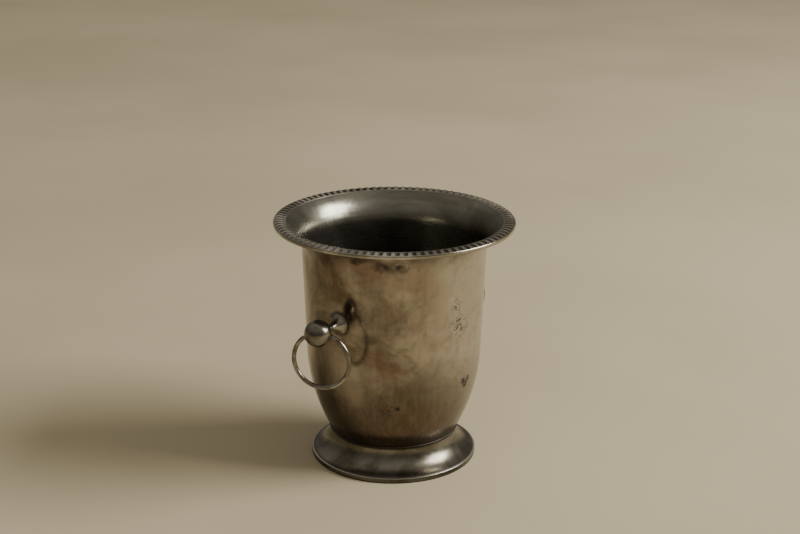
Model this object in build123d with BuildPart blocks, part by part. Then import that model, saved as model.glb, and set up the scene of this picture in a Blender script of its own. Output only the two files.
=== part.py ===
"""A silver-plated champagne bucket on a spread foot, with two ball-and-ring handles.

Millimetres, +Z up. The origin is on the table, under the middle of the foot, and the handles stand
on -X (left) and +X (right). Each handle is a turned post screwed through the wall, a ball on its end,
and a wire ring that swings in a hole drilled through the ball. The right handle is the left one turned
half a turn about the bucket's axis.
"""

from build123d import *
from math import atan2, degrees, pi, sqrt, tan
import os

os.makedirs("parts", exist_ok=True)

# Bowl: spun sheet, round below, nearly straight above, with a trumpet lip
bowl_wall = 1.2
lip_height = 215.6
lip_depth = 25.6
lip_overhang = 14.3
waist_radius = 77.0
waist_drop = 90.0
wall_flare = 3.3
seam_radius = 55.9
seam_height = 25.4
floor_drop = 9.4

# Border: a heavy moulding soldered round the edge of the lip, with a plain edge outside
border_overhang = 10.4
border_rise = 2.9
border_drop = 2.0
fillet_rise = 1.5
fillet_width = 1.0

# Foot: spun collar and flare, hollow below, with a wire band round its edge
foot_wall = 1.4
foot_spread = 16.4
foot_edge_height = 4.9
collar_rise = 1.1
collar_fall = 1.4
collar_gap = 0.5
collar_flare_lean = 0.035
band_overlap = 1.4
band_width = 2.8
band_bevel = 0.5
band_step = 0.2

# Handles
handle_drop = 46.3
knob_standoff = 28.6
ball_radius = 11.5
post_disc_radius = 9.3
post_disc_edge = 0.8
post_neck_radius = 2.9
post_neck_length = 3.6
spigot_radius = 1.8
spigot_length = 4.5
seat_clearance = 0.05

# Swinging rings: a round loop closed by a straight pin in the ball's cross hole
wire_radius = 1.9
loop_radius = 24.2
loop_corner_radius = 5.5
cross_hole_drop = 3.3
cross_hole_yaw = 19.0
cross_hole_roll = 7.5
cross_hole_clearance = 0.4

# Fixings inside the wall
screw_radius = 1.5
screw_grip = 8.5
screw_head_radius = 2.9
screw_head_height = 1.8
screw_slot_width = 0.9
screw_slot_depth = 0.9
wall_hole_clearance = 0.25
thread_clearance = 0.04
washer_radius = 8.0
washer_thickness = 1.3

# Worked out from the sizes above
neck_height = lip_height - lip_depth
waist_height = neck_height - waist_drop
neck_radius = waist_radius + wall_flare
lip_radius = neck_radius + lip_overhang
handle_height = neck_height - handle_drop
wall_lean = wall_flare / waist_drop
wall_radius = waist_radius + wall_lean * (handle_height - waist_height)
washer_seat = wall_radius - bowl_wall
border_radius = lip_radius + border_overhang
border_underside = lip_height - border_drop
fillet_top = lip_height + fillet_rise
foot_edge_radius = seam_radius + foot_spread
band_radius = foot_edge_radius + band_overlap
band_height = foot_edge_height - band_step
ball_reach = wall_radius + knob_standoff
cross_hole_radius = wire_radius + cross_hole_clearance
pin_half_length = sqrt(ball_radius**2 - cross_hole_drop**2)
loop_drop = loop_corner_radius + sqrt((loop_radius - loop_corner_radius) ** 2 - pin_half_length**2)
loop_turn = degrees(atan2(loop_drop - loop_corner_radius, pin_half_length))


def finish(part, name):
    part.label = name
    export_step(part, f"parts/{name}.step")


def radial_plane(side, reach):
    """Local x runs round the bucket, y is up and z points outward, reach from the bucket's axis."""
    return Plane(origin=(side * reach, 0, handle_height), x_dir=(0, side, 0), z_dir=(side, 0, 0))


def post_plane(side):
    """Local x points outward along the post from the wall, and y is up."""
    return Plane(origin=(side * wall_radius, 0, handle_height), x_dir=(side, 0, 0), z_dir=(0, -side, 0))


def hinge_plane(side):
    """Local x is the axis of the cross hole, drilled a little off square below the ball's middle."""
    level = Vector(0, side, 0).rotate(Axis.Z, cross_hole_yaw)
    outward = level.cross(Vector(0, 0, 1))
    return Plane(
        origin=(side * ball_reach, 0, handle_height - cross_hole_drop),
        x_dir=level.rotate(Axis((0, 0, 0), outward), cross_hole_roll),
        z_dir=outward,
    )


def pin_section_plane(side):
    """Square across the cross hole, at its middle."""
    plane = hinge_plane(side)
    return Plane(origin=plane.origin, z_dir=plane.x_dir)


# ---------------------------------------------------------------- bowl
# The outside is drawn down from the neck to the middle of the floor, and out from the neck to the lip.
# It is used twice: once as a sheet of even thickness, and once filled in, to cut what seats outside it.
def bowl_outline():
    wall_down = (-wall_flare, -waist_drop)
    lip = TangentArc(
        (neck_radius, neck_height), (lip_radius, lip_height), tangent=(wall_flare, waist_drop)
    )
    wall = Line((neck_radius, neck_height), (waist_radius, waist_height))
    belly = TangentArc(wall @ 1, (seam_radius, seam_height), tangent=wall_down)
    turn = atan2((belly % 1).Y, (belly % 1).X) + pi
    knuckle_end = (seam_radius - floor_drop / tan(turn / 2), seam_height - floor_drop)
    knuckle = TangentArc(belly @ 1, knuckle_end, tangent=belly % 1)
    floor = Line(knuckle @ 1, (0, seam_height - floor_drop))
    return lip, floor


with BuildPart() as envelope:
    with BuildSketch(Plane.XZ):
        with BuildLine():
            lip, floor = bowl_outline()
            Polyline(floor @ 1, (0, lip_height), lip @ 1)
        make_face()
    revolve(axis=Axis.Z)

with BuildPart() as bowl:
    with BuildSketch(Plane.XZ):
        with BuildLine():
            bowl_outline()
            offset(amount=bowl_wall, side=Side.LEFT)
        make_face()
    revolve(axis=Axis.Z)
    with Locations(radial_plane(side=1, reach=0)):
        Hole(radius=screw_radius + wall_hole_clearance)
finish(bowl.part, "bowl")


# ---------------------------------------------------------------- rim border
# A moulding soldered round the cut edge of the lip and flush with it inside. Its crown is the envelope
# of the gadroons, between two plain fillets.
with BuildPart() as rim_border:
    with BuildSketch(Plane.XZ):
        with BuildLine():
            heading = lip % 1
            sheet_middle = lip.radius + bowl_wall / 2
            seat_radius = lip.arc_center.X - sqrt(sheet_middle**2 - (border_underside - lip.arc_center.Y) ** 2)
            inner = Polyline(
                (seat_radius, border_underside),
                (lip_radius - bowl_wall * heading.Y, lip_height + bowl_wall * heading.X),
                (lip_radius - bowl_wall * heading.Y + fillet_width, fillet_top),
            )
            crown_outer = border_radius - fillet_width
            crown = ThreePointArc(
                inner @ 1,
                (((inner @ 1).X + crown_outer) / 2, lip_height + border_rise),
                (crown_outer, fillet_top),
            )
            Polyline(
                crown @ 1,
                (border_radius, fillet_top - fillet_width / 2),
                (border_radius, border_underside),
                inner @ 0,
            )
        make_face()
    revolve(axis=Axis.Z)
    add(bowl.part, mode=Mode.SUBTRACT)
finish(rim_border.part, "rim_border")


# ---------------------------------------------------------------- foot and its edge band
# The collar hugs the bowl at the seam and stands a hair clear of it above, which leaves a dark line.
# The sheet is one wall thick, measured inward from the outside.
with BuildPart() as foot:
    with BuildSketch(Plane.XZ):
        with BuildLine():
            collar = Line(
                (seam_radius + collar_gap + foot_wall, seam_height + collar_rise),
                (seam_radius + collar_gap, seam_height - collar_fall),
            )
            TangentArc(
                collar @ 1, (foot_edge_radius, foot_edge_height), tangent=(collar_flare_lean, -1)
            )
            offset(amount=foot_wall, side=Side.RIGHT)
        make_face()
    revolve(axis=Axis.Z)
    add(envelope.part, mode=Mode.SUBTRACT)
finish(foot.part, "foot")

# The band is a drawn wire of square section, soldered round the edge of the flare.
with BuildPart() as foot_edge_band:
    with BuildSketch(Plane.XZ):
        with Locations((band_radius, 0)):
            Rectangle(band_width, band_height, align=(Align.MAX, Align.MIN))
        chamfer(vertices().group_by(Axis.X)[-1], length=band_bevel)
    revolve(axis=Axis.Z)
    add(foot.part, mode=Mode.SUBTRACT)
finish(foot_edge_band.part, "foot_edge_band")


# ---------------------------------------------------------------- handle pieces
def make_post(side, name):
    """A turned trumpet: broad at the wall, drawn in to a thin neck, with a spigot for the ball."""
    neck_start = knob_standoff - ball_radius - post_neck_length
    with BuildPart() as post:
        with BuildSketch(post_plane(side)):
            with BuildLine():
                outline = Polyline(
                    (-bowl_wall, 0), (-bowl_wall, post_disc_radius), (post_disc_edge, post_disc_radius)
                )
                neck = Line((neck_start, post_neck_radius), (knob_standoff, post_neck_radius))
                TangentArc(neck @ 0, outline @ 1, tangent=(-1, 0))
                Polyline(neck @ 1, (knob_standoff, 0), outline @ 0)
            make_face()
        revolve(axis=Axis((0, 0, handle_height), (side, 0, 0)))
        with Locations(radial_plane(side, ball_reach)):
            Sphere(ball_radius, mode=Mode.SUBTRACT)
        add(envelope.part, mode=Mode.SUBTRACT)
        with BuildSketch(radial_plane(side, ball_reach - ball_radius)):
            Circle(spigot_radius)
        extrude(amount=spigot_length, both=True)
        with Locations(radial_plane(side, wall_radius)):
            Hole(radius=screw_radius + thread_clearance, depth=screw_grip + seat_clearance)
    finish(post.part, name)


def make_ball(side, name):
    """A ball with a blind socket for the spigot and a cross hole for the ring's pin."""
    with BuildPart() as ball:
        with Locations(radial_plane(side, ball_reach)):
            Sphere(ball_radius)
        with BuildSketch(radial_plane(side, ball_reach - ball_radius)):
            Circle(spigot_radius + seat_clearance)
        extrude(amount=spigot_length + seat_clearance, both=True, mode=Mode.SUBTRACT)
        with BuildSketch(pin_section_plane(side)):
            Circle(cross_hole_radius)
        extrude(amount=2 * ball_radius, both=True, mode=Mode.SUBTRACT)
    finish(ball.part, name)


def make_ring(side, name):
    """Half of the loop is swept from the middle of its pin to its lowest point, then mirrored."""
    with BuildPart() as ring:
        with BuildLine(hinge_plane(side)):
            Line((0, 0), (pin_half_length, 0))
            CenterArc((pin_half_length, -loop_corner_radius), loop_corner_radius, 90, loop_turn - 90)
            CenterArc((0, -loop_drop), loop_radius, loop_turn, -90 - loop_turn)
        with BuildSketch(pin_section_plane(side)):
            Circle(wire_radius)
        sweep()
        mirror(about=pin_section_plane(side))
    finish(ring.part, name)


def make_washer(side, name):
    """A backing washer, dished to the curve of the wall on one face and flat on the other."""
    with BuildPart() as washer:
        with BuildSketch(radial_plane(side, washer_seat - washer_thickness)):
            Circle(washer_radius)
            Circle(screw_radius + wall_hole_clearance, mode=Mode.SUBTRACT)
        extrude(amount=washer_thickness + bowl_wall / 2)
        add(bowl.part, mode=Mode.SUBTRACT)
    finish(washer.part, name)


def make_screw(side, name):
    """A cheese-head screw, driven outward from inside the bowl into the post."""
    head_seat = washer_seat - washer_thickness
    with BuildPart() as screw:
        with BuildSketch(radial_plane(side, head_seat - screw_head_height)):
            Circle(screw_head_radius)
        extrude(amount=screw_head_height)
        with BuildSketch(radial_plane(side, head_seat)):
            Circle(screw_radius)
        extrude(amount=washer_thickness + bowl_wall + screw_grip)
        with BuildSketch(radial_plane(side, head_seat - screw_head_height)):
            Rectangle(2 * screw_head_radius, screw_slot_width)
        extrude(amount=screw_slot_depth, mode=Mode.SUBTRACT)
    finish(screw.part, name)


for side, word in ((-1, "left"), (1, "right")):
    make_post(side, f"{word}_handle_post")
    make_ball(side, f"{word}_handle_ball")
    make_ring(side, f"{word}_handle_ring")
    make_washer(side, f"{word}_backing_washer")
    make_screw(side, f"{word}_fixing_screw")
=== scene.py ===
import bpy
from math import atan2, cos, hypot, pi, radians, sin, sqrt, tan
from mathutils import Matrix, Vector


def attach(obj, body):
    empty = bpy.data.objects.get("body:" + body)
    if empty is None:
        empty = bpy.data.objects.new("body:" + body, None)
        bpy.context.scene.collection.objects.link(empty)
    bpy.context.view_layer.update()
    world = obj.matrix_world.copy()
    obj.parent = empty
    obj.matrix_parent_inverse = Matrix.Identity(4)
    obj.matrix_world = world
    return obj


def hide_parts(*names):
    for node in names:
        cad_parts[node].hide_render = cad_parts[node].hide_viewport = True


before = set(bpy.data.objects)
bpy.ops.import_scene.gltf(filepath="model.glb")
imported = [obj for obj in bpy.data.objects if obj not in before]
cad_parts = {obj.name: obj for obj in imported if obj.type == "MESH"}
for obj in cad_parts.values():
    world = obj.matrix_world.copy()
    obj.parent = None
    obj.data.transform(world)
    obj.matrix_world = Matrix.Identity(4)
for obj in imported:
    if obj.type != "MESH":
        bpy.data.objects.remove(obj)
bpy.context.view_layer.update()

# ---------------------------------------------------------------- camera
# A long lens a little over a metre away, looking down into the mouth of the bucket, with the left
# handle turned towards it.
camera_place = (-1.0094, -0.7278, 0.5872)
view_bearing = radians(-54.44)
view_pitch = radians(18.41)
view_roll = radians(0.36)
camera_data = bpy.data.cameras.new("camera")
camera_data.lens = 67.5
camera_data.sensor_width = 36.0
camera = bpy.data.objects.new("camera", camera_data)
bpy.context.collection.objects.link(camera)
camera.location = camera_place
camera.rotation_euler = (
    Matrix.Rotation(view_bearing, 3, "Z")
    @ Matrix.Rotation(pi / 2 - view_pitch, 3, "X")
    @ Matrix.Rotation(view_roll, 3, "Z")
).to_euler()
bpy.context.scene.camera = camera


# ---------------------------------------------------------------- bowl
# One sheet of silver-plated brass, spun over a wooden chuck: a round bottom, a nearly straight wall
# and a trumpet lip turned out at the top. The plate has gone brown and green outside and is worn
# grey inside, where the lines of the spinning still show.
MM = 0.001
bowl_wall = 1.2 * MM
lip_edge = (94.6 * MM, 215.6 * MM)
neck = (80.3 * MM, 190.0 * MM)
waist = (77.0 * MM, 100.0 * MM)
seam = (55.9 * MM, 25.4 * MM)
floor_height = 16.0 * MM
floor_rings = (20.0 * MM, 6.0 * MM, 0.0)
bowl_facets = 288
wall_steps = 12


def tangent_arc(start, heading, end, steps):
    """The points after start on the arc that leaves it along heading and ends at end."""
    start, heading, end = Vector(start), Vector(heading).normalized(), Vector(end)
    chord = end - start
    across = Vector((-heading.y, heading.x))
    reach = chord.length_squared / (2 * chord.dot(across))
    centre = start + across * reach
    spoke = start - centre
    sweep = 2 * atan2(heading.cross(chord), heading.dot(chord))
    points = []
    for step in range(1, steps + 1):
        turn = Matrix.Rotation(sweep * step / steps, 2)
        points.append(tuple(centre + turn @ spoke))
    return points, Matrix.Rotation(sweep, 2) @ heading


def begin(piece_name):
    piece = bpy.context.object
    piece.name = piece_name
    bpy.ops.object.transform_apply(location=True, rotation=True, scale=True)
    bpy.ops.object.mode_set(mode="EDIT")
    bpy.ops.mesh.select_all(action="SELECT")
    return piece


def close_mesh(upright_at=None):
    """Merges doubles and turns faces outward; an open shell is told the height of an upright wall."""
    bpy.ops.mesh.select_all(action="SELECT")
    bpy.ops.mesh.remove_doubles(threshold=0.003 * MM)
    bpy.ops.mesh.normals_make_consistent(inside=False)
    bpy.ops.object.mode_set(mode="OBJECT")
    if upright_at is not None:
        mesh = bpy.context.object.data
        wall = min(mesh.polygons, key=lambda face: abs(face.center.z - upright_at))
        if wall.normal.dot(wall.center) < 0:
            mesh.flip_normals()


def ring_of_points(piece_name, start, around, solid=False):
    bpy.ops.object.select_all(action="DESELECT")
    bpy.ops.mesh.primitive_circle_add(
        vertices=around, radius=start[0], location=(0, 0, start[1]), rotation=(0, 0, -pi / 2),
        fill_type="NGON" if solid else "NOTHING",
    )
    return begin(piece_name)


def follow_outline(outline, solid=False):
    """Extrudes and scales what is selected from point to point along an outline."""
    for (radius, height), (next_radius, next_height) in zip(outline, outline[1:]):
        rise = {"value": (0, 0, next_height - height)}
        if solid:
            bpy.ops.mesh.extrude_region_move(TRANSFORM_OT_translate=rise)
        else:
            bpy.ops.mesh.extrude_edges_move(TRANSFORM_OT_translate=rise)
        scale = next_radius / radius
        bpy.ops.transform.resize(value=(scale, scale, 1), center_override=(0, 0, next_height))


def turn_outline(piece_name, outline, around, solid=False):
    piece = ring_of_points(piece_name, outline[0], around, solid)
    follow_outline(outline, solid)
    return piece


def apply_modifier(piece, kind, **settings):
    modifier = piece.modifiers.new(kind.lower(), kind)
    for key, value in settings.items():
        setattr(modifier, key, value)
    bpy.context.view_layer.objects.active = piece
    bpy.ops.object.modifier_apply(modifier=modifier.name)


def smooth(piece, angle):
    bpy.ops.object.select_all(action="DESELECT")
    piece.select_set(True)
    bpy.context.view_layer.objects.active = piece
    bpy.ops.object.shade_smooth_by_angle(angle=radians(angle))


wall_heading = (waist[0] - neck[0], waist[1] - neck[1])
lip_arc, _ = tangent_arc(neck, (-wall_heading[0], -wall_heading[1]), lip_edge, steps=14)
belly_arc, belly_heading = tangent_arc(waist, wall_heading, seam, steps=22)
knuckle_drop = seam[1] - floor_height
knuckle_turn = atan2(belly_heading.y, belly_heading.x) + pi
knuckle_end = (seam[0] - knuckle_drop / tan(knuckle_turn / 2), floor_height)
knuckle_arc, _ = tangent_arc(seam, belly_heading, knuckle_end, steps=8)
wall_points = [
    (neck[0] + wall_heading[0] * step / wall_steps, neck[1] + wall_heading[1] * step / wall_steps)
    for step in range(1, wall_steps + 1)
]
bowl_outline = [*reversed(lip_arc), neck, *wall_points, *belly_arc, *knuckle_arc]
bowl_outline += [(ring, floor_height) for ring in floor_rings]
bowl = turn_outline("bowl_shell", bowl_outline, bowl_facets)
close_mesh(upright_at=neck[1] - 10 * MM)
bowl.data.materials.append(None)
bowl.data.materials.append(None)
apply_modifier(bowl, "SOLIDIFY", thickness=bowl_wall, offset=-1, material_offset=1)
smooth(bowl, 60)


class Value:
    """A socket that ordinary arithmetic can be written on."""

    def __init__(self, finish, socket):
        self.finish = finish
        self.socket = socket

    def maths(self, operation, *values, clamp=False):
        return self.finish.node(
            "ShaderNodeMath", {"operation": operation, "use_clamp": clamp}, *values
        )

    def __add__(self, other):
        return self.maths("ADD", self, other)

    def __sub__(self, other):
        return self.maths("SUBTRACT", self, other)

    def __mul__(self, other):
        return self.maths("MULTIPLY", self, other)

    def __truediv__(self, other):
        return self.maths("DIVIDE", self, other)

    def __rsub__(self, other):
        return self.maths("SUBTRACT", other, self)

    def __pow__(self, other):
        return self.maths("POWER", self, other)

    __radd__ = __add__
    __rmul__ = __mul__

    def clamped(self):
        return self.maths("ADD", self, 0.0, clamp=True)

    def rising(self, low, high):
        """0 below low, 1 above high, smooth between; it falls instead when low is above high."""
        if low > high:
            return 1 - self.rising(high, low)
        return self.finish.node(
            "ShaderNodeMapRange", {"interpolation_type": "SMOOTHSTEP"}, self, low, high, 0.0, 1.0
        )


class Finish:
    """One material, with its Principled shader and a method that makes any other node."""

    def __init__(self, name):
        self.material = bpy.data.materials.new(name)
        self.material.use_nodes = True
        self.tree = self.material.node_tree
        self.surface = self.tree.nodes["Principled BSDF"]
        self.place = self.node("ShaderNodeTexCoord", {}, out="Object")
        axes = self.node("ShaderNodeSeparateXYZ", {}, self.place, out=None)
        self.x, self.y, self.z = (Value(self, axes.outputs[k]) for k in "XYZ")

    def node(self, kind, settings, *values, out=0, **named):
        made = self.tree.nodes.new(kind)
        for key, setting in settings.items():
            setattr(made, key, setting)
        for key, value in list(enumerate(values)) + list(named.items()):
            socket = made.inputs[key.replace("_", " ") if isinstance(key, str) else key]
            if isinstance(value, Value):
                self.tree.links.new(value.socket, socket)
            elif value is not None:
                socket.default_value = value
        return made if out is None else Value(self, made.outputs[out])

    def set(self, **sockets):
        for key, value in sockets.items():
            socket = self.surface.inputs[key.replace("_", " ")]
            if isinstance(value, Value):
                self.tree.links.new(value.socket, socket)
            else:
                socket.default_value = value

    def stretched(self, level, upright):
        """Object coordinates scaled apart, so that a pattern runs up the wall or round it."""
        return self.node(
            "ShaderNodeVectorMath", {"operation": "MULTIPLY"}, self.place, (level, level, upright)
        )

    def noise(self, scale, detail, roughness, where=None, distortion=0.0, shift=0.0):
        place = where or self.place
        if shift:
            place = self.node("ShaderNodeVectorMath", {"operation": "ADD"}, place, (shift, shift, shift))
        return self.node(
            "ShaderNodeTexNoise", {}, Vector=place, Scale=scale, Detail=detail, Roughness=roughness,
            Distortion=distortion,
        )

    def mix(self, factor, first, second):
        """first where factor is 0 and second where it is 1; both are colours."""
        made = self.node("ShaderNodeMix", {"data_type": "RGBA"}, out=None)
        for slot, value in ((0, factor), (6, first), (7, second)):
            if isinstance(value, Value):
                self.tree.links.new(value.socket, made.inputs[slot])
            else:
                made.inputs[slot].default_value = value if slot == 0 else (*value, 1.0)[:4]
        return Value(self, made.outputs[2])

    def bump(self, height, distance, strength):
        return self.node(
            "ShaderNodeBump", {}, Strength=strength, Distance=distance, Height=height
        )

    def near(self, spot, reach, core):
        """1 at a spot on the piece and out to core from it, fading to 0 at reach."""
        away = self.node(
            "ShaderNodeVectorMath", {"operation": "DISTANCE"}, self.place, tuple(spot), out="Value"
        )
        return away.rising(reach, core)

    def marks(self, *spots):
        """The sum of several spots, each given in millimetres as x, y, z, reach and core."""
        total = 0
        for x, y, z, reach, core in spots:
            total = total + self.near((x * MM, y * MM, z * MM), reach * MM, core * MM)
        return total

    def out_from_axis(self):
        return (self.x * self.x + self.y * self.y) ** 0.5


beige_plate = (0.43, 0.375, 0.305)
painted_lit_plate = (0.57, 0.535, 0.46)
painted_upper_light = (0.52, 0.475, 0.39)
brushed_plate = (0.30, 0.25, 0.185)
bronze_tarnish = (0.140, 0.104, 0.070)
green_tarnish = (0.135, 0.135, 0.105)
red_tarnish = (0.20, 0.10, 0.068)
painted_low_shade = (0.098, 0.068, 0.048)
film_tarnish = (0.15, 0.125, 0.09)
dark_tarnish = (0.045, 0.034, 0.026)

outside = Finish("bowl_outside_tarnished_plate")
cloud = outside.noise(15.0, 6.0, 0.62, distortion=0.6)
blotch = outside.noise(31.0, 6.0, 0.62, shift=3.1, distortion=0.9)
rust = outside.noise(19.0, 5.0, 0.6, shift=11.0)
fine = outside.noise(120.0, 5.0, 0.6, shift=7.7)
streak = outside.noise(46.0, 4.0, 0.6, where=outside.stretched(1.0, 0.09), shift=1.3)
brushed = outside.noise(230.0, 3.0, 0.6, where=outside.stretched(1.0, 0.18), shift=14.0)
speckle = outside.noise(420.0, 3.0, 0.7, shift=5.0).rising(0.50, 0.60)
# How far the wall faces the window; it drives the painted light below.
lit_side = (outside.x * 0.62 - outside.y * 0.78) / (80 * MM)
low_wall = outside.z.rising(125 * MM, 35 * MM)
high_wall = outside.z.rising(110 * MM, 195 * MM)

colour = outside.mix(cloud.rising(0.38, 0.64), bronze_tarnish, beige_plate)
colour = outside.mix(blotch.rising(0.48, 0.66) * 0.6, colour, green_tarnish)
colour = outside.mix(rust.rising(0.50, 0.66) * 0.6, colour, red_tarnish)
# Painted light: the side of the wall facing the window is made paler.
colour = outside.mix(lit_side.rising(0.0, 0.95) * 0.75, colour, painted_lit_plate)
# Painted shade: the wall is darkened towards the bottom.
colour = outside.mix(low_wall * 0.85, colour, painted_low_shade)
colour = outside.mix(brushed.rising(0.42, 0.68) * 0.22, colour, brushed_plate)
# Painted light: the upper wall on the window side is lightened.
colour = outside.mix(high_wall * lit_side.rising(-0.5, 0.6) * 0.4, colour, painted_upper_light)
film = fine.rising(0.44, 0.62) * blotch.rising(0.36, 0.58)
colour = outside.mix(film * 0.22, colour, film_tarnish)

# Grime packs in under the lip and round the posts, and the wall darkens just above the foot. The wall also
# has two scaly patches and a forked stain on the side facing the window, a stain under the lip, and a
# black spot low down.
wall_darker_above_foot = outside.z.rising(44 * MM, 25 * MM)
under_lip = outside.z.rising(194 * MM, 211 * MM) * blotch.rising(0.40, 0.60)
post_grime = outside.marks((-78.6, 0, 143.7, 13, 9.2), (78.6, 0, 143.7, 13, 9.2))
scaly_patches = outside.marks((-16, -77, 159, 9, 2), (-14, -77, 140, 16, 5))
low_speckle = outside.marks((-63, -37, 69, 17, 3))
lip_stain = outside.marks((-73, -38, 200, 9, 3), (-68, -47, 200, 9, 3), (-62, -54, 199, 8, 3))
forked_stain = outside.marks((-3, -75, 85.5, 4.2, 1.8), (4.5, -75, 86, 4.2, 1.8), (1, -75, 81, 4.6, 2.0))
black_spot = outside.marks((-57, -45.5, 70, 3.0, 1.0))
darkening = (
    wall_darker_above_foot * 0.75 + under_lip * 0.55 + post_grime * 0.7
    + speckle * (scaly_patches * 0.85 + low_speckle * 0.6)
    + forked_stain * fine.rising(0.30, 0.50) + black_spot + lip_stain * fine.rising(0.36, 0.52) * 0.6
    + streak.rising(0.52, 0.72) * 0.22 + fine.rising(0.55, 0.75) * 0.16
).clamped()
colour = outside.mix(darkening, colour, dark_tarnish)
outside.set(
    Base_Color=colour,
    Metallic=0.96 - darkening * 0.3,
    Roughness=(0.12 + fine * 0.07 + darkening * 0.22 + blotch * 0.06).clamped(),
    Normal=outside.bump(cloud * 0.8 + blotch * 0.4 + fine * 0.06, 0.7 * MM, 0.5),
)

worn_dark = (0.165, 0.16, 0.125)
worn_light = (0.31, 0.30, 0.25)
water_stain = (0.20, 0.17, 0.115)
painted_deep_shade = (0.16, 0.145, 0.11)
line_dark = (0.12, 0.105, 0.078)

inside = Finish("bowl_inside_worn_plate")
spun_lines = inside.noise(160.0, 3.0, 0.5, where=inside.stretched(0.05, 2.4))
inner_cloud = inside.noise(16.0, 5.0, 0.6, shift=2.2, distortion=0.7)
water_mark = inside.noise(36.0, 5.0, 0.62, shift=8.8)
depth_shade = inside.z.rising(165 * MM, 60 * MM)
colour = inside.mix(inner_cloud.rising(0.36, 0.66), worn_dark, worn_light)
colour = inside.mix(water_mark.rising(0.55, 0.72) * 0.35, colour, water_stain)
# Painted shade: the inside is darkened towards the bottom of the bowl.
colour = inside.mix(depth_shade * 0.6, colour, painted_deep_shade)
colour = inside.mix(spun_lines.rising(0.35, 0.70) * 0.22, colour, line_dark)
inside.set(
    Base_Color=colour,
    Metallic=0.97,
    Roughness=(0.17 + spun_lines * 0.14 + water_mark * 0.06).clamped(),
    Normal=inside.bump(spun_lines * 0.2 + inner_cloud * 0.8, 0.7 * MM, 0.5),
)

bowl.data.materials[0] = outside.material
bowl.data.materials[1] = inside.material
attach(bowl, "bucket")
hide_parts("bowl")


# ---------------------------------------------------------------- rim border
# A heavy cast moulding soldered round the edge of the lip, cut across by 94 scooped flutes between two
# plain fillets. Tarnish lies in the flutes, and the ridges between them are rubbed bright.
flute_count = 94
ridge_share = 0.40
flute_depth = 2.2 * MM
scoop_end = 0.8 * MM
flute_clearance = 0.3 * MM
border_outer = 105.0 * MM
lip_inside = (93.93 * MM, 216.6 * MM)
crown_inner = 94.93 * MM
crown_outer = 104.0 * MM
crown_top = 218.48 * MM
fillet_top = 217.1 * MM
underside = 213.6 * MM
crown_floor = fillet_top - 2.0 * MM
border_outline = [
    (103.7 * MM, underside),
    (98.0 * MM, underside),
    (91.5 * MM, underside + 0.05 * MM),
    (92.9 * MM, 215.2 * MM),
    lip_inside,
    (lip_inside[0] + 0.3 * MM, fillet_top - 0.12 * MM),
    (crown_inner - 0.15 * MM, fillet_top + 0.02 * MM),
    (crown_inner + 0.15 * MM, fillet_top - 0.1 * MM),
    (crown_inner + 0.6 * MM, fillet_top + 0.3 * MM),
    (97.3 * MM, 218.1 * MM),
    (99.4 * MM, crown_top),
    (101.2 * MM, 218.35 * MM),
    (102.7 * MM, 217.8 * MM),
    (103.5 * MM, fillet_top + 0.3 * MM),
    (crown_outer + 0.1 * MM, fillet_top - 0.05 * MM),
    (border_outer - 0.25 * MM, fillet_top - 0.5 * MM),
    (border_outer, fillet_top - 1.3 * MM),
    (border_outer, underside + 0.3 * MM),
    (border_outer - 0.4 * MM, underside),
]
columns = 5
ridge_columns = 2
pitch = 2 * pi / flute_count


def pick(piece, wanted):
    """Selects the points of a piece, in edit mode, whose place passes a test."""
    bpy.ops.mesh.select_all(action="DESELECT")
    bpy.ops.object.mode_set(mode="OBJECT")
    for point in piece.data.vertices:
        point.select = bool(wanted(point.co))
    bpy.ops.object.mode_set(mode="EDIT")


def column_of(place):
    """How many columns round from +X, where the first ridge starts."""
    return (atan2(place.y, place.x) % (2 * pi)) / pitch * columns


def in_flute(place, end):
    """Whether a point is on the crown, between two ridges and clear of the flute's ends by end."""
    radius = hypot(place.x, place.y)
    margin = flute_clearance + end
    on_crown = crown_inner + margin < radius < crown_outer - margin and place.z > crown_floor
    return on_crown and ridge_columns + 0.5 < column_of(place) < columns - 0.5


border = ring_of_points("rim_gadroon_border", border_outline[0], flute_count * columns)
pick(border, lambda place: columns + 0.5 < column_of(place) < flute_count * columns - 0.5)
bpy.ops.mesh.delete(type="VERT")
bpy.ops.mesh.select_all(action="SELECT")
follow_outline([*border_outline, border_outline[0]])
for end in (0.0, scoop_end):
    pick(border, lambda place: in_flute(place, end))
    bpy.ops.transform.translate(value=(0, 0, -flute_depth / 2))
bpy.ops.mesh.select_all(action="SELECT")
bpy.ops.mesh.spin(
    dupli=True, steps=flute_count - 1, angle=(flute_count - 1) * pitch, center=(0, 0, 0), axis=(0, 0, 1)
)
close_mesh()
apply_modifier(border, "SUBSURF", levels=1, render_levels=1)
smooth(border, 60)

ridge_dull = (0.30, 0.275, 0.22)
ridge_bright = (0.66, 0.62, 0.53)
flute_soot = (0.040, 0.035, 0.026)

gadroon = Finish("border_rubbed_silver")
turn = gadroon.node("ShaderNodeMath", {"operation": "ARCTAN2"}, gadroon.y, gadroon.x)
share = gadroon.node("ShaderNodeMath", {"operation": "FRACT"}, turn / pitch + flute_count)
radius = gadroon.out_from_axis()
in_width = share.rising(ridge_share - 0.05, ridge_share + 0.06) * share.rising(1.02, 0.93)
in_length = (
    radius.rising(crown_inner, crown_inner + 0.7 * MM)
    * radius.rising(crown_outer + 0.2 * MM, crown_outer - 0.5 * MM)
    * gadroon.z.rising(crown_floor, crown_floor + 0.5 * MM)
)
soot = gadroon.noise(70.0, 4.0, 0.6)
flute_dark = in_width * in_length * (0.66 + soot * 0.5)
fillet_groove = (
    radius.rising(crown_inner - 0.4 * MM, crown_inner)
    * radius.rising(crown_inner + 0.6 * MM, crown_inner + 0.2 * MM)
)
joint_grime = radius.rising(lip_inside[0] + 0.35 * MM, lip_inside[0] + 0.1 * MM) * 0.5
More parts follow.
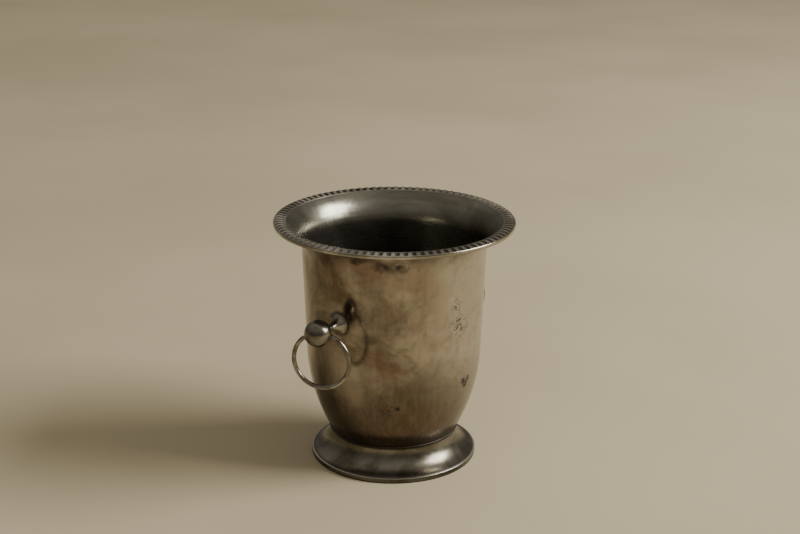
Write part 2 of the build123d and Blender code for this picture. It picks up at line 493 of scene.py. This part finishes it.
wear = gadroon.noise(24.0, 4.0, 0.6, shift=4.0)
colour = gadroon.mix(wear.rising(0.40, 0.66), ridge_dull, ridge_bright)
# Painted shade: the underside of the border is darkened.
under = gadroon.z.rising(underside + 0.9 * MM, underside - 0.2 * MM)
darkening = (
    flute_dark + fillet_groove * 0.4 + joint_grime + under * 0.55 + soot.rising(0.56, 0.76) * 0.2
).clamped()
colour = gadroon.mix(darkening, colour, flute_soot)
gadroon.set(
    Base_Color=colour,
    Metallic=0.97 - darkening * 0.35,
    Roughness=(0.15 + soot * 0.10 + darkening * 0.26).clamped(),
    Normal=gadroon.bump(gadroon.noise(300.0, 3.0, 0.5), 0.12 * MM, 0.5),
)
border.data.materials.append(gadroon.material)
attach(border, "bucket")
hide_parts("rim_border")


# ---------------------------------------------------------------- foot
# A second spinning, open below: a short collar soldered round the bottom of the bowl, spread into a
# trumpet. Its silver plate is greyer than the bowl's, with grime packed into the joint.
foot_wall = 1.4 * MM
collar_top = (57.8 * MM, 26.5 * MM)
collar_bottom = (56.4 * MM, 24.0 * MM)
collar_heading = (0.035, -1)
foot_edge = (72.3 * MM, 4.9 * MM)
foot_facets = 256
flare_arc, _ = tangent_arc(collar_bottom, collar_heading, foot_edge, steps=26)
foot_outline = [collar_top, (57.1 * MM, 25.3 * MM), collar_bottom, *flare_arc]
foot = turn_outline("spread_foot", foot_outline, foot_facets)
close_mesh(upright_at=collar_bottom[1] - 1.0 * MM)
apply_modifier(foot, "SOLIDIFY", thickness=foot_wall, offset=-1)
apply_modifier(foot, "BEVEL", width=0.35 * MM, segments=3, limit_method="ANGLE", angle_limit=radians(50))
smooth(foot, 40)

foot_dull = (0.10, 0.089, 0.063)
foot_bright = (0.25, 0.232, 0.188)
foot_brown = (0.17, 0.135, 0.10)

grey_plate = Finish("foot_grey_plate")
cloud = grey_plate.noise(22.0, 5.0, 0.6, shift=6.0, distortion=0.5)
fine = grey_plate.noise(150.0, 4.0, 0.6)
spun = grey_plate.noise(190.0, 3.0, 0.5, where=grey_plate.stretched(0.06, 2.0))
radius = grey_plate.out_from_axis()
colour = grey_plate.mix(cloud.rising(0.36, 0.64), foot_dull, foot_bright)
colour = grey_plate.mix(fine.rising(0.58, 0.74) * 0.3, colour, foot_brown)
joint_grime = grey_plate.z.rising(22.5 * MM, 25.5 * MM) * (0.6 + fine * 0.6)
edge_grime = radius.rising(69.6 * MM, 71.2 * MM) * 0.55
# Painted shade: the foot's edge is darkened where it runs down inside the band.
hidden_edge_shade = grey_plate.z.rising(3.8 * MM, 2.6 * MM)
darkening = (joint_grime + edge_grime + hidden_edge_shade * 0.7).clamped()
colour = grey_plate.mix(darkening, colour, dark_tarnish)
grey_plate.set(
    Base_Color=colour,
    Metallic=0.97 - darkening * 0.3,
    Roughness=(0.20 + fine * 0.10 + spun * 0.06 + darkening * 0.2).clamped(),
    Normal=grey_plate.bump(spun * 0.10 + cloud * 0.6, 0.6 * MM, 0.5),
)
foot.data.materials.append(grey_plate.material)
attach(foot, "bucket")
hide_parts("foot")


# ---------------------------------------------------------------- band round the foot's edge
# A square wire drawn to size, bent round the edge of the foot and soldered on, with its outer corners
# rubbed round. It is what the bucket stands on.
band_outer = 73.7 * MM
band_inner = 70.9 * MM
band_height = 4.7 * MM
band_outline = [
    (band_outer, band_height / 2), (band_outer, 0), (band_inner, 0), (band_inner, band_height),
    (band_outer, band_height), (band_outer, band_height / 2),
]
band = turn_outline("foot_edge_wire", band_outline, foot_facets)
close_mesh()
apply_modifier(band, "BEVEL", width=0.55 * MM, segments=4, limit_method="ANGLE", angle_limit=radians(50))
smooth(band, 40)

band_dark = (0.075, 0.068, 0.055)
band_grey = (0.16, 0.148, 0.125)
painted_edge_highlight = (0.62, 0.59, 0.54)

wire_plate = Finish("foot_edge_wire_painted_highlight")
wear = wire_plate.noise(30.0, 4.0, 0.6, where=wire_plate.stretched(1.0, 0.4))
fine = wire_plate.noise(170.0, 4.0, 0.6)
colour = wire_plate.mix(wear.rising(0.38, 0.64), band_dark, band_grey)
top_edge_highlight = wire_plate.z.rising(3.9 * MM, 4.5 * MM)
# Painted highlight: a bright line along the band's top edge.
colour = wire_plate.mix(top_edge_highlight * 0.8, colour, painted_edge_highlight)
low_edge = wire_plate.z.rising(1.6 * MM, 0.2 * MM)
darkening = (low_edge * 0.8 + fine.rising(0.54, 0.72) * 0.3).clamped()
colour = wire_plate.mix(darkening, colour, dark_tarnish)
wire_plate.set(
    Base_Color=colour,
    Metallic=0.97 - darkening * 0.3,
    Roughness=(0.24 + fine * 0.14 + darkening * 0.2).clamped(),
    Normal=wire_plate.bump(wear * 0.8 + fine * 0.1, 0.3 * MM, 0.5),
)
band.data.materials.append(wire_plate.material)
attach(band, "bucket")
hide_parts("foot_edge_band")


# ---------------------------------------------------------------- handle posts
# Each handle starts as a turned post, broad and trumpet-shaped where it sits on the wall and thin
# where it enters the ball. A screw from inside the bowl pulls it tight. Rubbed silver plate.
handle_height = 143.7 * MM
wall_radius = 78.602 * MM
knob_standoff = 28.6 * MM
ball_radius = 11.5 * MM
post_disc_radius = 9.3 * MM
post_neck_radius = 2.9 * MM
post_neck_start = 13.5 * MM
post_disc_rim = 0.8 * MM
post_seat_depth = 0.75 * MM
post_spigot = 1.0 * MM
handle_sides = ((-1, "left"), (1, "right"))

handle_dull = (0.19, 0.162, 0.12)
handle_bright = (0.42, 0.395, 0.345)
handle_specks = (0.12, 0.095, 0.07)

handle_plate = Finish("handle_rubbed_silver")
cloud = handle_plate.noise(55.0, 5.0, 0.6, shift=2.0, distortion=0.6)
fine = handle_plate.noise(260.0, 4.0, 0.6, shift=9.0)
colour = handle_plate.mix(cloud.rising(0.36, 0.66), handle_dull, handle_bright)
colour = handle_plate.mix(fine.rising(0.56, 0.74) * 0.4, colour, handle_specks)
axis_height = handle_plate.z - handle_height
from_axis = (handle_plate.y * handle_plate.y + axis_height * axis_height) ** 0.5
reach = (handle_plate.x * handle_plate.x) ** 0.5
disc_grime = from_axis.rising(7.6 * MM, 9.4 * MM) * reach.rising(82.0 * MM, 79.5 * MM)
neck_grime = reach.rising(94.0 * MM, 96.0 * MM)
darkening = (disc_grime * 0.6 + neck_grime * 0.7).clamped()
colour = handle_plate.mix(darkening, colour, dark_tarnish)
handle_plate.set(
    Base_Color=colour,
    Metallic=0.97 - darkening * 0.25,
    Roughness=(0.165 + fine * 0.12 + cloud * 0.06 + darkening * 0.22).clamped(),
    Normal=handle_plate.bump(cloud * 0.5 + fine * 0.12, 0.3 * MM, 0.5),
)

post_neck = (post_neck_radius, post_neck_start)
flare, _ = tangent_arc(post_neck, (0, -1), (post_disc_radius, post_disc_rim), steps=18)
post_outline = [
    (post_disc_radius, -post_seat_depth),
    *reversed(flare),
    post_neck,
    (post_neck_radius, knob_standoff - ball_radius + post_spigot),
]
for side, word in handle_sides:
    post = turn_outline(f"{word}_post", post_outline, 64, solid=True)
    close_mesh()
    apply_modifier(
        post, "BEVEL", width=0.22 * MM, segments=2, limit_method="ANGLE", angle_limit=radians(50)
    )
    post.matrix_world = (
        Matrix.Translation((side * wall_radius, 0, handle_height)) @ Matrix.Rotation(side * pi / 2, 4, "Y")
    )
    smooth(post, 40)
    bpy.ops.object.transform_apply(location=True, rotation=True, scale=True)
    post.data.materials.append(handle_plate.material)
    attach(post, "bucket")
    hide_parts(f"{word}_handle_post")


# ---------------------------------------------------------------- handle balls
# A solid turned ball on the end of each post, drilled across a little below its middle for the ring.
# Both are drilled about 19 degrees off square. The edges of the holes are broken, and painted shade
# darkens the ball round their mouths.
ball_reach = wall_radius + knob_standoff
cross_hole_radius = 2.3 * MM
cross_hole_drop = 3.3 * MM
cross_hole_yaw = radians(19.0)
cross_hole_roll = radians(7.5)
pin_half = sqrt(ball_radius ** 2 - cross_hole_drop ** 2)


def hinge_frame(side):
    """Local x runs along the cross hole, y up the hanging ring, and z outward from the bucket."""
    level = Matrix.Rotation(cross_hole_yaw, 3, "Z") @ Vector((0, side, 0))
    outward = level.cross(Vector((0, 0, 1)))
    along = level * cos(cross_hole_roll) + Vector((0, 0, 1)) * sin(cross_hole_roll)
    axes = Matrix((along, outward.cross(along), outward)).transposed().to_4x4()
    return Matrix.Translation((side * ball_reach, 0, handle_height - cross_hole_drop)) @ axes


ball_dull = (0.105, 0.09, 0.066)
ball_bright = (0.255, 0.238, 0.198)

ball_plate = Finish("ball_rubbed_silver")
cloud = ball_plate.noise(60.0, 5.0, 0.6, shift=5.0, distortion=0.8)
fine = ball_plate.noise(280.0, 4.0, 0.6)
colour = ball_plate.mix(cloud.rising(0.36, 0.66), ball_dull, ball_bright)
colour = ball_plate.mix(fine.rising(0.56, 0.74) * 0.4, colour, handle_specks)
hole_shade_and_stem_grime = 0
for side, word in handle_sides:
    hole = hinge_frame(side)
    # Painted shade round both mouths of each cross hole; grime round the end of the stem.
    for end in (-pin_half, pin_half):
        hole_shade_and_stem_grime = hole_shade_and_stem_grime + ball_plate.near(hole @ Vector((end, 0, 0)), 3.2 * MM, 2.2 * MM)
    stem_end = (side * (ball_reach - ball_radius), 0, handle_height)
    hole_shade_and_stem_grime = hole_shade_and_stem_grime + ball_plate.near(stem_end, 3.5 * MM, 2.9 * MM)
darkening = (hole_shade_and_stem_grime * 0.85).clamped()
colour = ball_plate.mix(darkening, colour, dark_tarnish)
ball_plate.set(
    Base_Color=colour,
    Metallic=0.97 - darkening * 0.25,
    Roughness=(0.15 + fine * 0.12 + cloud * 0.06 + darkening * 0.22).clamped(),
    Normal=ball_plate.bump(cloud * 0.5 + fine * 0.12, 0.3 * MM, 0.5),
)
for side, word in handle_sides:
    bpy.ops.object.select_all(action="DESELECT")
    bpy.ops.mesh.primitive_cylinder_add(vertices=48, radius=cross_hole_radius, depth=4 * ball_radius)
    drill = bpy.context.object
    drill.matrix_world = hinge_frame(side) @ Matrix.Rotation(pi / 2, 4, "Y")
    bpy.ops.object.select_all(action="DESELECT")
    bpy.ops.mesh.primitive_uv_sphere_add(
        segments=96, ring_count=48, radius=ball_radius, location=(side * ball_reach, 0, handle_height)
    )
    ball = begin(f"{word}_ball")
    close_mesh()
    apply_modifier(ball, "BOOLEAN", operation="DIFFERENCE", object=drill, solver="EXACT")
    bpy.data.objects.remove(drill)
    apply_modifier(
        ball, "BEVEL", width=0.3 * MM, segments=2, limit_method="ANGLE", angle_limit=radians(50)
    )
    smooth(ball, 40)
    ball.data.materials.append(ball_plate.material)
    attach(ball, "bucket")
    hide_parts(f"{word}_handle_ball")


# ---------------------------------------------------------------- swinging rings
# Silver-plated wire bent into a round loop, with a short straight pin through the ball where its ends
# meet. It hangs loose and swings on the pin. Its plate is brown and bright in random patches.
wire_radius = 1.9 * MM
loop_radius = 24.2 * MM
corner_radius = 5.5 * MM
loop_drop = corner_radius + sqrt((loop_radius - corner_radius) ** 2 - pin_half ** 2)
loop_turn = atan2(loop_drop - corner_radius, pin_half)

ring_brown = (0.14, 0.115, 0.085)
ring_specks = (0.09, 0.072, 0.055)

ring_plate = Finish("ring_drawn_silver")
cloud = ring_plate.noise(48.0, 5.0, 0.6, shift=3.0, distortion=0.6)
fine = ring_plate.noise(240.0, 4.0, 0.6)
colour = ring_plate.mix(cloud.rising(0.36, 0.62), ring_brown, handle_bright)
colour = ring_plate.mix(fine.rising(0.54, 0.72) * 0.45, colour, ring_specks)
ring_plate.set(
    Base_Color=colour,
    Metallic=0.95,
    Roughness=(0.18 + fine * 0.16).clamped(),
    Normal=ring_plate.bump(cloud * 0.6 + fine * 0.2, 0.25 * MM, 0.5),
)


def bend_wire(centre, angle, steps):
    """Carries the open end of the wire round a centre, in the plane of the loop."""
    bpy.ops.mesh.spin(steps=steps, angle=angle, center=(*centre, 0), axis=(0, 0, -1))


for side, word in handle_sides:
    bpy.ops.object.select_all(action="DESELECT")
    bpy.ops.mesh.primitive_circle_add(vertices=24, radius=wire_radius, rotation=(0, pi / 2, 0))
    ring = begin(f"{word}_ring")
    bpy.ops.mesh.extrude_edges_move(TRANSFORM_OT_translate={"value": (pin_half, 0, 0)})
    bend_wire((pin_half, -corner_radius), loop_turn - pi / 2, 10)
    bend_wire((0, -loop_drop), -pi - 2 * loop_turn, 96)
    bend_wire((-pin_half, -corner_radius), loop_turn - pi / 2, 10)
    bpy.ops.mesh.extrude_edges_move(TRANSFORM_OT_translate={"value": (pin_half, 0, 0)})
    close_mesh()
    ring.matrix_world = hinge_frame(side)
    smooth(ring, 60)
    bpy.ops.object.transform_apply(location=True, rotation=True, scale=True)
    ring.data.materials.append(ring_plate.material)
    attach(ring, f"{word}_ring")
    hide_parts(f"{word}_handle_ring")


# ---------------------------------------------------------------- fixings inside the wall
# A dished brass washer and a slotted cheese-head screw hold each post from inside the bowl. They have
# gone dull brown, and they keep the shapes of the engineering model.
brass_brown = (0.27, 0.185, 0.085)
brass_yellow = (0.50, 0.37, 0.19)
brass_specks = (0.10, 0.075, 0.04)

brass = Finish("fixing_dull_brass")
tone = brass.noise(90.0, 4.0, 0.6)
grain = brass.noise(420.0, 3.0, 0.6)
colour = brass.mix(tone.rising(0.38, 0.64), brass_brown, brass_yellow)
colour = brass.mix(grain.rising(0.55, 0.72) * 0.5, colour, brass_specks)
brass.set(
    Base_Color=colour,
    Metallic=0.95,
    Roughness=(0.32 + grain * 0.2).clamped(),
    Normal=brass.bump(grain * 0.4 + tone * 0.4, 0.15 * MM, 0.5),
)
for side, word in handle_sides:
    for fixing in ("backing_washer", "fixing_screw"):
        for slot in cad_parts[f"{word}_{fixing}"].material_slots:
            slot.material = brass.material


# ---------------------------------------------------------------- floor
# A plain pale sheet for the bucket to stand on, several metres across so that no edge shows. It is matt
# and very slightly uneven in tone.
floor_radius = 9.0
floor_margin = 4.0
floor_darker = (0.56, 0.485, 0.32)
floor_lighter = (0.62, 0.54, 0.36)
bpy.ops.object.select_all(action="DESELECT")
bpy.ops.mesh.primitive_circle_add(vertices=96, radius=floor_radius, fill_type="NGON")
floor = begin("floor")
bpy.ops.mesh.inset(thickness=floor_margin)
close_mesh()
floor_finish = Finish("floor_pale_matt")
tone = floor_finish.noise(2.2, 3.0, 0.5)
grain = floor_finish.noise(260.0, 3.0, 0.6)
colour = floor_finish.mix(tone.rising(0.3, 0.7), floor_darker, floor_lighter)
floor_finish.set(
    Base_Color=colour,
    Roughness=(0.82 + grain * 0.12).clamped(),
    Normal=floor_finish.bump(grain, 0.3 * MM, 0.3),
)
floor.data.materials.append(floor_finish.material)


# ---------------------------------------------------------------- light
# One soft window high on the right-hand side, and a dim warm room all round, brighter overhead, which
# is what the dark metal mirrors.
window_place = (1.55, -2.50, 2.00)
window_target = (0, 0, 0.12)
window_size = (1.8, 1.7)
window_power = 150.0
window_colour = (1.0, 0.965, 0.91)
room_colour = (0.80, 0.74, 0.64, 1.0)
room_low, room_high = 0.12, 0.50

window_data = bpy.data.lights.new("window", "AREA")
window_data.shape = "RECTANGLE"
window_data.size, window_data.size_y = window_size
window_data.energy = window_power
window_data.color = window_colour
window = bpy.data.objects.new("window", window_data)
bpy.context.collection.objects.link(window)
window.location = window_place
facing = Vector(window_target) - Vector(window_place)
window.rotation_euler = facing.to_track_quat("-Z", "Y").to_euler()

world = bpy.data.worlds.new("room")
bpy.context.scene.world = world
world.use_nodes = True
room = world.node_tree
direction = room.nodes.new("ShaderNodeTexCoord")
split = room.nodes.new("ShaderNodeSeparateXYZ")
upward = room.nodes.new("ShaderNodeMapRange")
upward.interpolation_type = "SMOOTHSTEP"
upward.inputs["From Min"].default_value = -0.1
upward.inputs["From Max"].default_value = 1.0
upward.inputs["To Min"].default_value = room_low
upward.inputs["To Max"].default_value = room_high
room.links.new(direction.outputs["Generated"], split.inputs[0])
room.links.new(split.outputs["Z"], upward.inputs["Value"])
room.links.new(upward.outputs[0], room.nodes["Background"].inputs["Strength"])
room.nodes["Background"].inputs["Color"].default_value = room_colour
